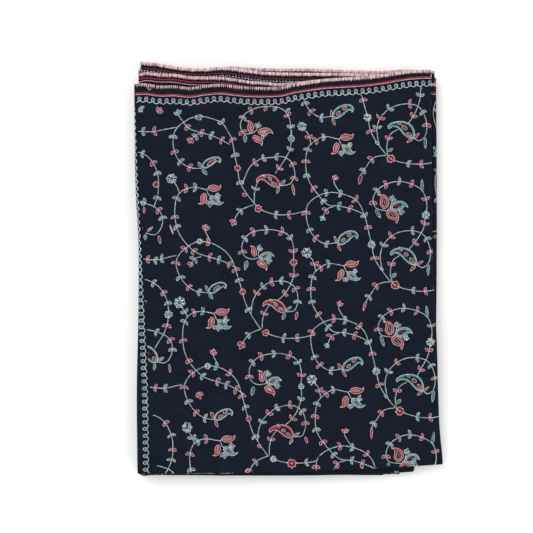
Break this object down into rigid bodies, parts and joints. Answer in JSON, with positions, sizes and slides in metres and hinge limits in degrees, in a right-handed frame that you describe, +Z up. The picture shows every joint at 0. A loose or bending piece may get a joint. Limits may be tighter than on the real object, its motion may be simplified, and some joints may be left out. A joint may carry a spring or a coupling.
{
  "type": "embroidered cashmere stole, folded flat",
  "caption": "Dark cashmere stole with vine and paisley embroidery and striped selvedges, doubled lengthwise and folded to and fro into a flat pack.",
  "frame": {"origin": "on the surface that the folded stole rests on, under the middle of the pack", "axes": "+X along the folded panels towards the second fold's side, +Y towards the two selvedges, +Z up from the surface"},
  "size_m": [0.282, 0.3799, 0.0192],
  "materials": {
    "embroidered_twill": "blue-black cashmere twill, soft and matt with a short nap, embroidered in pale green, teal, red and rose thread",
    "plain_twill": "the same blue-black cashmere twill in the folds underneath, matt",
    "selvedge_stripes": "rose and red stripes woven along both selvedges, with a rose overcast edge",
    "sage_thread": "pale grey-green embroidery thread with a low sheen, in stems, leaf outlines and the border",
    "teal_thread": "teal embroidery thread with a low sheen, in petals, paisleys and leaf centres",
    "red_thread": "crimson embroidery thread with a low sheen, in petals, paisleys and leaf centres",
    "rose_thread": "pale rose embroidery thread with a low sheen, in outlines of red leaves and petals"
  },
  "bodies": {
    "root": {"front_panel": "embroidered_twill", "second_panel": "embroidered_twill", "third_panel": "embroidered_twill", "hidden_layers": "plain_twill"}
  },
  "joints": []
}
